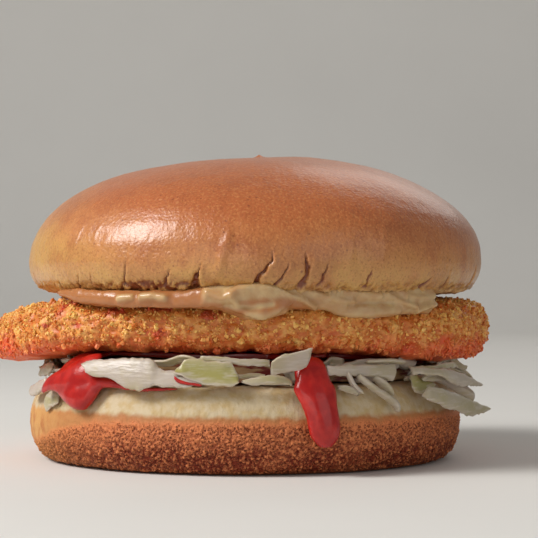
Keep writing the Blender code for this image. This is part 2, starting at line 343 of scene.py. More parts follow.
def crown_finish():
    """Egg-washed crust: red-brown on top, golden at the rim, with pale crumb below, and painted shade in its tears
    and under its torn rim.
    """
    made = Finish("Bun top crust", Roughness=0.33, Coat_Weight=0.2, Coat_Roughness=0.2)
    made.shader.inputs["Specular IOR Level"].default_value = 0.5
    drift = made.math("MULTIPLY_ADD", made.noise(9, 3), 8 * MM)
    drift.node.inputs[2].default_value = -4 * MM
    height = made.math("ADD", made.z, drift)
    height = made.math("SUBTRACT", height, made.math("MULTIPLY", made.attribute("golden"), 12 * MM))
    colour = made.mix(made.span(height, 42 * MM, 53 * MM), (196, 150, 82), (188, 122, 70))
    colour = made.mix(made.span(height, 50 * MM, 62 * MM), colour, (178, 98, 53))
    colour = made.mix(made.span(made.noise(15, 3), 0.5, 0.66, 0, 0.3), colour, (148, 78, 44))
    colour = made.mix(made.span(made.noise(5, 4), 0.45, 0.75, 0, 0.45), colour, (158, 84, 46))
    colour = made.mix(made.span(made.noise(0.6, 2), 0.48, 0.68, 0, 0.38), colour, (212, 146, 88))
    colour = made.mix(made.span(made.noise(0.55, 2), 0.52, 0.68, 0, 0.4), colour, (134, 68, 36))
    speck = made.math("MULTIPLY", made.span(made.cells(2.2), 0.16, 0.08), made.span(made.noise(6, 2), 0.5, 0.6))
    colour = made.mix(made.math("MULTIPLY", speck, 0.6), colour, (112, 54, 30))
    colour = made.mix(made.span(made.z, 42.8 * MM, 41.8 * MM), colour, (214, 178, 126))
    # painted shade: the tears and the torn rim are coloured darker brown, for the shade in their hollows
    colour = made.mix(made.span(made.attribute("tear"), 0.1, 0.9), colour, (120, 58, 30))
    made.colour(colour)
    made.bump((made.noise(0.7, 2), 0.14), (made.noise(1.9, 3, (1, 1, 1.6)), 0.12))
    return made.material


def heel_finish():
    """The heel's crust: pebbled brown below, a pale band above, and pale crumb on the cut face. Painted light
    lightens the pebbles' tops and painted shade darkens their grooves, fine dents and pits.
    """
    made = Finish("Heel crust", Roughness=0.62)
    made.shader.inputs["Specular IOR Level"].default_value = 0.28
    relief = made.attribute("relief")
    side = made.attribute("golden")
    edge = made.math("MULTIPLY_ADD", made.noise(3, 3), 2.4 * MM)
    edge.node.inputs[2].default_value = -1.2 * MM
    height = made.math("ADD", made.z, edge)
    crust = made.math("ADD", height, made.math("MULTIPLY", side, SIDE_DROP * MM))
    pitted = made.span(crust, 12.6 * MM, 10.8 * MM)
    pit = made.math("MULTIPLY", made.span(made.cells(0.58), 0.48, 0.24), pitted)
    # painted light and shade: lighter on the pebbles' tops, darker in their grooves, in the fine dents and in the
    # pits
    brown = made.mix(made.span(relief, 0.1, 0.8), (118, 40, 14), (212, 126, 77))
    fine = made.noise(0.6, 2)
    brown = made.mix(made.span(fine, 0.5, 0.36, 0, 0.3), brown, (104, 36, 14))
    brown = made.mix(made.math("MULTIPLY", pit, 0.65), brown, (104, 34, 12))
    brown = made.mix(made.span(made.noise(7, 3), 0.45, 0.75, 0, 0.35), brown, (206, 122, 76))
    brown = made.mix(made.math("MULTIPLY", side, 0.6), brown, (206, 140, 78))
    pale = made.mix(made.span(made.noise(2.2, 4), 0.35, 0.7), (198, 180, 148), (188, 162, 116))
    golden = made.mix(made.noise(1.2, 3), (166, 104, 60), (180, 124, 76))
    baked = made.mix(made.span(made.noise(3.5, 4), 0.4, 0.68), (204, 154, 92), (182, 118, 64))
    golden = made.mix(side, golden, baked)
    colour = made.mix(made.span(crust, 11.4 * MM, 13.4 * MM), brown, golden)
    colour = made.mix(made.span(height, 12.9 * MM, 14.4 * MM), colour, pale)
    colour = made.mix(made.span(made.z, 0.9 * MM, 0.2 * MM), colour, (132, 70, 42))
    made.colour(colour)
    grip = made.math("MULTIPLY", fine, made.span(crust, 13.2 * MM, 11.5 * MM, 0.12, 1))
    made.bump((made.noise(0.9, 3, (1, 1, 2.5)), 0.14), (made.noise(0.5, 3), 0.09), (grip, 0.3), (pit, -0.25))
    return made.material


def crumb_finish():
    """Fried crumb: golden above, orange-red below, with red patches where sauce has soaked in."""
    made = Finish("Fried crumb", Roughness=0.42, Subsurface_Weight=0.25, Subsurface_Scale=1.0 * MM)
    made.shader.inputs["Subsurface Radius"].default_value = (1.0, 0.45, 0.2)
    shade = made.attribute("shade")
    drift = made.math("MULTIPLY_ADD", made.noise(4, 3), 9 * MM)
    drift.node.inputs[2].default_value = -4.5 * MM
    height = made.math("ADD", made.z, drift)
    # shade is a random tone on the loose crumbs, and painted shade on the skin, darker in its hollows
    golden = made.mix(shade, (202, 110, 36), (248, 198, 110))
    red = made.mix(shade, (216, 84, 42), (250, 142, 82))
    colour = made.mix(made.span(height, 27 * MM, 33 * MM), red, golden)
    colour = made.mix(made.span(made.noise(5, 3), 0.56, 0.7, 0, 0.45), colour, (200, 84, 38))
    colour = made.mix(made.span(made.noise(1.5, 2), 0.56, 0.7, 0, 0.4), colour, (196, 80, 34))
    colour = made.mix(made.span(made.noise(0.9, 2), 0.55, 0.8, 0, 0.4), colour, (150, 72, 30))
    colour = made.mix(made.math("MULTIPLY", made.attribute("stain"), 0.8), colour, (190, 56, 30))
    made.colour(colour)
    made.bump((made.noise(0.35, 3), 0.09))
    return made.material


def leaf_finish():
    """Cabbage: white to pale green, moist, and a little translucent."""
    made = Finish("Cabbage leaf", Roughness=0.34, Subsurface_Weight=0.5, Subsurface_Scale=1.5 * MM)
    made.shader.inputs["Subsurface Radius"].default_value = (1.0, 0.95, 0.7)
    colour = made.mix(made.span(made.noise(8, 2), 0.42, 0.66, 0, 0.45), (184, 172, 160), (168, 156, 106))
    colour = made.mix(made.attribute("green"), colour, (156, 150, 80))
    colour = made.mix(made.span(made.noise(1.6, 3), 0.5, 0.75, 0, 0.35), colour, (182, 168, 134))
    veins = made.noise(1.5, 2, (3, 3, 0.5))
    colour = made.mix(made.span(veins, 0.5, 0.66, 0, 0.5), colour, (198, 188, 177))
    made.colour(colour)
    made.bump((veins, 0.16), (made.noise(0.6, 2), 0.05))
    return made.material


def core_finish():
    """The inside of the heap: shreds soaked in sauce, with painted shade dark between them."""
    made = Finish("Cabbage in sauce and shade", Roughness=0.35)
    # dark maroon: partly sauce, partly painted shade in the hollows between the shreds
    colour = made.mix(made.span(made.noise(2.4, 3, (2, 2, 0.5)), 0.42, 0.6), (112, 24, 16), (176, 140, 96))
    made.colour(colour)
    made.bump((made.noise(1.2, 3, (2, 2, 0.5)), 0.2))
    return made.material


def sauce_finish():
    """Thick red sauce, wet but with a soft gloss, painted darker further in as painted shade."""
    made = Finish("Red sauce", Roughness=0.28, Coat_Weight=0.3, Coat_Roughness=0.06, Subsurface_Weight=0.3)
    made.shader.inputs["Specular IOR Level"].default_value = 0.35
    made.shader.inputs["Subsurface Radius"].default_value = (1.0, 0.15, 0.1)
    made.shader.inputs["Subsurface Scale"].default_value = 1.5 * MM
    red = made.mix(made.span(made.noise(2.5, 3), 0.35, 0.7), (162, 18, 16), (186, 36, 28))
    # painted shade: darker red where the sauce lies further in, under the fillet and between the shreds
    made.colour(made.mix(made.attribute("inner_shade"), red, (120, 22, 17)))
    made.bump((made.noise(1.6, 3), 0.10), (made.noise(0.35, 2), 0.015))
    return made.material


def mayo_finish():
    """Ivory mayonnaise, soft and glossy, painted brownish where it is a thin film over the crumb and with painted
    shade where the crown's rim shades it.
    """
    made = Finish("Mayonnaise", Roughness=0.27, Subsurface_Weight=0.4, Subsurface_Scale=1.5 * MM)
    made.shader.inputs["Subsurface Radius"].default_value = (1.0, 0.75, 0.4)
    cream = made.mix(made.span(made.noise(4, 3), 0.35, 0.7), (208, 182, 136), (190, 154, 106))
    # thin: brownish partly where the film is thin over the crumb and partly as painted shade under the crown's rim
    made.colour(made.mix(made.attribute("thin"), cream, (172, 112, 66)))
    made.bump((made.noise(2.0, 3), 0.15), (made.noise(0.5, 2), 0.02))
    return made.material


# ---------------------------------------------------------------- bun


def path_share(across, up, path):
    """For points on a surface laid flat: the signed distance from a path, and the share of its length."""
    nearest = np.full(across.shape, FAR)
    share = np.zeros(across.shape)
    for index, (start, end) in enumerate(zip(path, path[1:])):
        run = (end[0] - start[0], end[1] - start[1])
        length = math.hypot(*run)
        along = ((across - start[0]) * run[0] + (up - start[1]) * run[1]) / length**2
        side = ((across - start[0]) * run[1] - (up - start[1]) * run[0]) / length
        held = np.clip(along, 0.0, 1.0)
        away = np.hypot(side, (along - held) * length) * np.sign(side)
        closer = np.abs(away) < np.abs(nearest)
        nearest = np.where(closer, away, nearest)
        share = np.where(closer, (index + held) / (len(path) - 1), share)
    return nearest, share


def on_path(points, centre_x, path, jitter=0.0):
    """path_share() for a path of (angle, height) on an upright surface round a centre."""
    moved = points - np.array([centre_x, 0.0, 0.0])
    turns = turned_by(angle_of(moved), path[0][0])
    radius = radius_of(moved)
    across = np.radians(turns) * radius
    if jitter:
        across = across + jitter * rough(points, 2.2, 3.0)
    flat = []
    for angle, height in path:
        turn = turned_by(angle, path[0][0])
        apart = np.abs(turns - turn) + 2 * np.abs(points[..., 2] - height)
        near = np.argpartition(apart, 60, axis=None)[:60]
        flat.append((math.radians(turn) * radius.ravel()[near].max(), height))
    return path_share(across, points[..., 2], flat)


# Tears in the crown's rim, each from its top to the rim: path of (angle, height), half width and depth.
TEARS = (
    (((-120.4, 54.0), (-121.0, 48.2)), 0.16, 0.12),
    (((-120.9, 50.0), (-121.2, 47.0), (-121.6, 45.6), (-123.0, 43.6)), 0.20, 0.45),
    (((-109.6, 47.6), (-110.2, 46.0), (-111.2, 43.8)), 0.22, 0.45),
    (((-101.9, 49.2), (-102.5, 46.8), (-103.4, 45.6)), 0.18, 0.55),
    (((-102.8, 46.8), (-103.6, 45.4), (-104.2, 43.2)), 0.75, 0.80),
    (((-85.2, 51.8), (-85.8, 49.0), (-88.0, 46.4), (-89.6, 43.4)), 0.36, 0.80),
    (((-82.2, 49.0), (-82.5, 47.0), (-84.6, 43.6)), 0.26, 0.60),
    (((-77.5, 51.6), (-77.2, 47.8), (-78.6, 43.4)), 0.46, 0.70),
    (((-72.1, 49.2), (-73.0, 46.8), (-74.0, 43.6)), 0.26, 0.55),
    (((-135.9, 46.8), (-137.4, 44.6), (-139.2, 42.7)), 0.20, 0.40),
    (((-131.5, 47.5), (-132.6, 45.0), (-133.4, 42.7)), 0.18, 0.30),
    (((-146.5, 44.8), (-147.5, 42.6)), 0.20, 0.40),
    (((-141.6, 44.8), (-140.5, 42.6)), 0.20, 0.40),
)
HIDDEN_SIDE_TEARS = 22
# Soft folds of the crust: path, half width and height.
CREASES = (
    (((-95.0, 57.5), (-96.9, 50.4), (-98.8, 44.2)), 1.2, 0.36),
    (((-136.5, 57.5), (-138.5, 52.5)), 0.5, 0.18),
    (((-130.0, 58.5), (-132.0, 53.5)), 0.5, 0.18),
    (((-126.5, 57.0), (-128.0, 51.0), (-129.5, 46.0)), 0.9, 0.12),
    (((-114.0, 55.0), (-115.5, 48.0)), 0.8, 0.08),
    (((-66.0, 56.0), (-67.5, 46.0)), 1.0, 0.12),
    (((-57.0, 58.0), (-58.5, 48.0)), 1.2, 0.12),
    (((-121.0, 65.5), (-114.4, 68.0), (-102.1, 69.6)), 0.22, 0.14),
    (((-98.0, 68.4), (-84.0, 68.9)), 0.25, 0.10),
)


NUB = (3.4, -2.0, 1.5, 0.25)  # a small knob on the crown's top: its place, half width and height
CROWN_GOLDEN_SIDE = (-172, 38)  # where the golden rim reaches higher up: its angle and width
RAW_RIM = (-112, 15)  # where the rim is torn most: its angle and width


def hidden_side_tears():
    """Tears for the sides and back, spread unevenly between the front's two ends."""
    found = []
    for index in range(HIDDEN_SIDE_TEARS):
        angle = -64 + (index + rng.uniform(0.1, 0.9)) * 270 / HIDDEN_SIDE_TEARS
        top = rng.uniform(45.0, 50.5)
        slant = rng.uniform(-3.0, 1.5)
        path = ((angle, top), (angle + slant * 0.3, (top + 43.0) / 2 + 0.6), (angle + slant, 42.8))
        found.append((path, rng.uniform(0.25, 0.45), rng.uniform(0.25, 0.7)))
    return found


def crown():
    """The crown's crust, with tears at the rim, soft creases and a fine uneven skin."""
    low, high = (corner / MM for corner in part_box("bun_crown"))
    middle = (low.x + high.x) / 2
    centre = (NUB[0], NUB[1], 49.0)
    rows = latitudes((-76, 3), (-30, 4), (8, 44), (50, 28), (84, 9), (89.8, 8))
    points = wrap("bun_crown", centre, (57, 57, 27), rows, dense_turns(980, -150, -50, 0.45), 7.5, 1.4)
    outwards = grid_normals(points)
    # Marks the tears and the ragged rim, where the colour is painted darker as painted shade.
    tear_and_rim_shade = np.zeros(points.shape[:2])
    ragged = rough(points, 0.7, 12.0)
    lift = 0.30 * rough(points, 16, 2.0) + 0.05 * rough(points, 2.4, 5.0, 3)
    upright = 1 - np.abs(outwards[..., 2])
    stretched = points * np.array([1.0, 1.0, 0.22])
    lift += 0.07 * upright * rough(stretched, 2.4, 9.0, 2)
    for path, width, depth in [*TEARS, *hidden_side_tears()]:
        away, share = on_path(points, middle, path, 0.7)
        away = away + 0.24 * ragged
        width = width * (0.5 + 1.1 * share**2)
        fade = ease(share / 0.35) * ease((path[0][1] + 0.6 - points[..., 2]) / 0.8)
        groove = np.exp(-(np.abs(away / width) ** 3)) * fade
        lift += depth * (0.3 * bell(away + 0.7 + width, 0.7) * fade - 1.2 * groove)
        tear_and_rim_shade = np.maximum(tear_and_rim_shade, groove * min(depth / 0.4, 1.0))
    for path, width, height in CREASES:
        away, share = on_path(points, middle, path, 0.4)
        lift += height * bell(away, width) * ease(share / 0.3) * ease((1 - share) / 0.2)
    top = np.hypot(points[..., 0] - NUB[0], points[..., 1] - NUB[1])
    lift += NUB[3] * bell(top, NUB[2]) * (points[..., 2] > 60)
    raw = bell(turned_by(angle_of(points), RAW_RIM[0]), RAW_RIM[1])
    rim = ease((44.6 + 0.8 * raw - points[..., 2]) / 1.4) * ease((points[..., 2] - 40.0) / 1.0)
    crumb = rough(points, 1.5, 6.0, 2) + 0.9 * ragged
    lift += rim * (0.42 * crumb - 0.15 - 0.1 * raw)
    # The torn rim's underside also gets painted shade.
    tear_and_rim_shade = np.maximum(tear_and_rim_shade, (0.5 + 0.35 * raw) * rim * ease((0.25 + 0.35 * raw - crumb) / 0.7))
    points = points + outwards * lift[..., None]
    golden = bell(turned_by(angle_of(points), CROWN_GOLDEN_SIDE[0]), CROWN_GOLDEN_SIDE[1])
    piece = grid_object("crown_crust", points, crown_finish(), "crown_crust", tear=tear_and_rim_shade, golden=golden)
    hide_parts("bun_crown")
    return piece


GOLDEN_PATCH = (-168, 25)  # where the heel's side stayed golden: its angle and width
SIDE_DROP = 7.0  # how much lower the browned crust ends there


def heel():
    """The heel's crust: pebbled where it sat in the tin, smooth in the pale band, open crumb on the cut face."""
    rows = latitudes((-62, 6), (-49, 6), (-44, 7), (46, 64), (52, 5), (88.5, 8))
    points = wrap("bun_heel", (0.0, 0.0, 10.0), (54, 54, 10), rows, dense_turns(860, -165, -15, 0.54), 7.5, 1.6)
    outwards = grid_normals(points)
    height = points[..., 2]
    golden = bell(turned_by(angle_of(points), GOLDEN_PATCH[0]), GOLDEN_PATCH[1])
    top = 12.9 + 1.0 * rough(points, 6.0, 4.0) - SIDE_DROP * golden
    crust = ease((top - height) / 2.4) * ease(height / 0.5)
    strength = 0.6 + 0.4 * ease((9.0 - height) / 6.0)
    grain = 1.2 * pebbles(points, 0.9, 2.0) - 0.2 + 0.3 * rough(points, 1.6, 7.0) + 0.4 * rough(points, 0.7, 5.0)
    grain = np.clip(grain, 0.0, 1.0)
    lift = 0.75 * crust * strength * (grain - 0.7)
    wrinkles = rough(points * np.array([1.0, 1.0, 0.35]), 0.9, 6.0)
    lift += (1 - crust) * (0.05 * rough(points, 1.3, 3.0, 3) + 0.05 * wrinkles) + 0.25 * rough(points, 14, 8.0)
    lift *= ease(height / 0.25)
    cut = ease((height - 19.0) / 1.0)
    lift += cut * 0.18 * rough(points, 1.2, 5.0, 3)
    points = points + outwards * lift[..., None]
    points[..., 2] = np.maximum(points[..., 2], 0.0)
    # Painted light and shade for the colour: 1 on the pebbles' tops and on smooth crust, falling towards 0 in the
    # grooves.
    relief = 1 - crust * strength * (1 - grain)
    piece = grid_object("heel_crust", points, heel_finish(), "heel_crust", relief=relief, golden=golden)
    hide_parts("bun_heel")
    return piece


# ---------------------------------------------------------------- fillet


CRUMB_SIZES = ((1250, 0.36, 0.78, 2), (9300, 0.17, 0.44, 1))  # count, smallest and largest radius, subdivisions
SAG = 0.7  # how much lower the skin's lower edge hangs than the CAD's
CRUMB_DEPTH = (5.0, 9.0)  # how far in from the outline the loose crumbs reach, above and below
CRUMB_RADIUS = 49.0  # outside this they lie everywhere, as nothing further in shows under the crown
# Where sauce has soaked into the crumb: angle, height, and how far it spreads each way.
STAINS = ((-141, 39.6, 5, 1.4), (-126.5, 37.2, 4, 1.3), (-113.5, 38.0, 5, 1.1), (-99, 36.8, 3, 1.2),
          (-142, 37.2, 1.2, 0.9), (-145.3, 33.9, 1.2, 0.9), (-135.5, 34.0, 1.2, 0.9), (-113, 32.4, 4, 1.1),
          (-60, 37.6, 3, 1.0), (20, 37.6, 3, 1.0), (100, 37.2, 3, 1.0), (160, 36.4, 2.5, 1.2))


def stain(points):
    """How far sauce has soaked in at each point."""
    total = np.zeros(points.shape[:-1])
    for angle, height, width, depth in STAINS:
        away = turned_by(angle_of(points), angle)
        total += bell(away, width) * bell(points[..., 2] - height, depth)
    return ease((total + 0.6 * rough(points, 1.8, 1.0, 2) - 0.4) / 0.3) * ease(total / 0.3)


def fillet(finish):
    """The fillet's crumbed skin: lumps, pits and a coarse grain."""
    low, high = (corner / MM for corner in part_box("chicken_fillet"))
    centre = (0.0, 0.0, 32.5)
    rows = latitudes((-64, 8), (64, 52), (88.5, 8))
    points = wrap("chicken_fillet", centre, (62, 50, 8), rows, even_turns(700), 6.0, 2.5)
    outwards = grid_normals(points)
    lift = 0.55 * rough(points, 4.5, 1.0, 2) + 0.45 * rough(points, 1.5, 6.0, 2)
    lift += 0.22 * rough(points, 0.75, 3.0, 2) - 0.15
    points = points + outwards * lift[..., None]
    points[..., 2] -= SAG * ease((30.0 - points[..., 2]) / 3.0) * ease((radius_of(points) - 36.0) / 4.0)
    points = np.clip(points, np.array(low) - 1.2, np.array(high) + 1.2)
    # painted shade: the skin's colour is lighter on its lumps and darker in its hollows
    shade = np.clip(0.35 + 0.9 * lift, 0.0, 1.0)
    piece = grid_object("fillet_skin", points, finish, "fried_crumb", shade=shade, stain=stain(points))
    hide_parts("chicken_fillet")
    return points, outwards


def icosphere(subdivisions):
    """Points and triangles of an icosphere of radius 1."""
    made = bpy.data.meshes.new("icosphere")
    shape = bmesh.new()
    bmesh.ops.create_icosphere(shape, subdivisions=subdivisions, radius=1.0)
    shape.to_mesh(made)
    shape.free()
    points = np.array([vertex.co for vertex in made.vertices])
    faces = np.array([face.vertices[:] for face in made.polygons])
    bpy.data.meshes.remove(made)
    return points, faces


def random_turns(count):
    """Random rotation matrices."""
    first = unit(rng.normal(size=(count, 3)))
    second = rng.normal(size=(count, 3))
    second = unit(second - first * (first * second).sum(axis=1, keepdims=True))
    return np.stack([first, second, np.cross(first, second)], axis=1)


def scatter_on(points, outwards, count, share):
    """Random places on a grid, spread evenly over its area where share is 1 and more thinly where it is less."""
    across = np.roll(points, -1, axis=1) - points
    up = np.roll(points, -1, axis=0) - points
    area = np.linalg.norm(np.cross(across, up), axis=-1)
    area[-1] = 0.0
    weight = area * share
    cells = rng.choice(weight.size, size=count, p=(weight / weight.sum()).ravel())
    row, segment = np.unravel_index(cells, weight.shape)
    shares = rng.uniform(size=(2, count, 1))
    places = points[row, segment] + across[row, segment] * shares[0] + up[row, segment] * shares[1]
    return places, outwards[row, segment]


def crumbs(points, outwards, finish):
    """Loose panko crumbs where the fillet shows, in two sizes, as one joined mesh for each."""
    depth = np.where(points[..., 2] > 33.0, *CRUMB_DEPTH)
    inner = np.minimum(radius_of(points).max(axis=0) - depth, CRUMB_RADIUS)
    share = ease((radius_of(points) - inner) / 3.0) * ease((outwards[..., 2] + 1.0) / 0.12)
    for index, (count, small, large, subdivisions) in enumerate(CRUMB_SIZES):
        places, ways = scatter_on(points, outwards, count, share)
        shape, faces = icosphere(subdivisions)
        size = small + (large - small) * rng.uniform(size=count) ** 1.8
        stretch = rng.uniform(0.45, 1.3, size=(count, 1, 3))
        dents = 1 + rng.normal(0.0, 0.26, size=(count, len(shape), 1))
        blobs = shape[None] * np.clip(dents, 0.6, 1.5) * stretch * size[:, None, None]
        blobs = np.einsum("nvi,nij->nvj", blobs, random_turns(count))
        blobs += places[:, None] + ways[:, None] * (0.35 * size)[:, None, None]
        offsets = np.arange(count)[:, None, None] * len(shape)
        looks = {
            "shade": np.repeat(np.clip(rng.normal(0.52, 0.38, count), 0.0, 1.0), len(shape)),
            "stain": np.repeat(stain(places), len(shape)),
        }
        joined = (faces[None] + offsets).reshape(-1, 3)
        name = ("large_crumbs", "small_crumbs")[index]
        piece = mesh_object(name, blobs.reshape(-1, 3), joined, finish, looks)
        piece.data.shade_flat()


# ---------------------------------------------------------------- sheets: pieces of leaf and smears of sauce


class Sheets:
    """Collects thin, closed sheets into one mesh, each between two edges."""

    ACROSS = np.array([-1.0, -0.93, -0.66, -0.33, 0.0, 0.33, 0.66, 0.93, 1.0])
    STEP = 0.6  # from one column of points to the next

    def __init__(self):
        self.points, self.faces, self.green = [], [], []
        self.count = 0

    def add(self, first, second, thickness, bulge=0.0, green=0.0, ragged=0.15, domed=False):
        """One sheet. bulge is how far its middle stands out, in half widths. A domed one is thick in the middle
        and thin at its edges, like a drop, and the others keep their thickness out to the edge, like a leaf."""
        count = max(int(np.linalg.norm(np.diff((first + second) / 2, axis=0), axis=1).sum() / self.STEP), 8)
        place = np.linspace(0, len(first) - 1, count)
        first, second = (
            np.stack([np.interp(place, np.arange(len(edge)), edge[:, k]) for k in range(3)], axis=1)
            for edge in (first, second)
        )
        if domed:
            first, second = (blur(edge, 1.5, 0, False) for edge in (first, second))
        across = unit(second - first)
        first = first - across * (ragged * rough(first, 1.4, self.count, 2))[:, None]
        second = second + across * (ragged * rough(second, 1.4, self.count + 0.5, 2))[:, None]
        middle, half = (first + second) / 2, np.linalg.norm(second - first, axis=1)[:, None] / 2
        ahead = unit(np.gradient(blur(middle, 2.0, 0, False), axis=0))
        face = unit(np.cross(ahead, across))
        outwards = np.sign((face * (unit(middle * np.array([1, 1, 0])) + np.array([0, 0, 0.4]))).sum())
        face = face * (outwards or 1.0)
        power = 2 if domed else 10
        full = np.sqrt(np.clip(1 - np.abs(self.ACROSS) ** power, 0.0, 1.0))
        ends = np.sqrt(np.clip(1 - np.abs(np.linspace(-1, 1, count)) ** (4 if domed else 30), 0.0, 1.0))
        body = thickness * full * ends[:, None]
        ripple = 0.10 * np.minimum(half, 1.5) * rough(middle, 4.0, self.count + 1)[:, None] * self.ACROSS
        bend = half * bulge * (1 - self.ACROSS**2) + ripple
        outer = bend + (body if domed else body / 2)
        inner = bend - (0.0 if domed else 0.5) * body
        spread = middle[:, None] + across[:, None] * (half * self.ACROSS)[..., None]
        sides = [spread + face[:, None] * outer[..., None], spread + face[:, None] * inner[..., None]]
        grid = np.concatenate([sides[0], sides[1][:, -2:0:-1]], axis=1)
        around = grid.shape[1]
        order = 1 if outwards < 0 else -1
        self.points.append(grid.reshape(-1, 3))
        self.faces.extend(grid_faces(count, around, self.count)[:, ::order].tolist())
        for start, turn in ((self.count, -order), (self.count + (count - 1) * around, order)):
            self.faces.append(list(range(start, start + around))[::turn])
        rim = np.abs(np.concatenate([self.ACROSS, self.ACROSS[-2:0:-1]]))
        self.green.append((green * (1 - rim**3) * (0.4 + 0.6 * ends[:, None])).ravel())
        self.count += grid.shape[0] * around

    def plate(self, columns, thickness=0.7, flare=0.0, bulge=0.1, green=0.0, ragged=0.15, domed=False):
        """A sheet that faces outwards, from columns of (angle, radius, low height, high height). flare is how
        much further out its lower edge is."""
        angle, radius, low, high = np.asarray(columns, float).T
        lower = upright(angle, radius + flare / 2, low)
        self.add(lower, upright(angle, radius - flare / 2, high), thickness, bulge, green, ragged, domed)

    def shred(self, stations, thickness=0.8, lean=0.0, bulge=0.1, green=0.0, ragged=0.12):
        """A narrow sheet along a smooth path of (angle, radius, height, half width). Its face leans from upright,
        at 0, to lying flat, at 90."""
        stations = np.asarray(stations, float)
        path = np.column_stack([upright(*stations[:, :3].T), stations[:, 3]])
        length = np.linalg.norm(np.diff(path[:, :3], axis=0), axis=1).sum()
        path = smooth_path(path, max(int(length / self.STEP), 8))
        spine, half = path[:, :3], np.maximum(path[:, 3:], 0.1)
        ahead = unit(np.gradient(spine, axis=0))
        radial = unit(spine * np.array([1.0, 1.0, 0.0]))
        tilt = math.radians(lean)
        across = np.array([0.0, 0.0, math.cos(tilt)]) + radial * math.sin(tilt)
        across = unit(across - ahead * (across * ahead).sum(axis=1, keepdims=True))
        self.add(spine - half * across, spine + half * across, thickness, bulge, green, ragged)

    def build(self, name, finish, slot):
        points = np.concatenate(self.points)
        faces = np.empty(len(self.faces), object)
        faces[:] = self.faces
        return mesh_object(name, points, faces, finish, {"green": np.concatenate(self.green)})


def upright(angle, radius, height):
    """Points from angles, radii and heights."""
    turn = np.radians(angle)
    return np.stack([radius * np.cos(turn), radius * np.sin(turn), height + 0 * turn], axis=-1)


# ---------------------------------------------------------------- cabbage

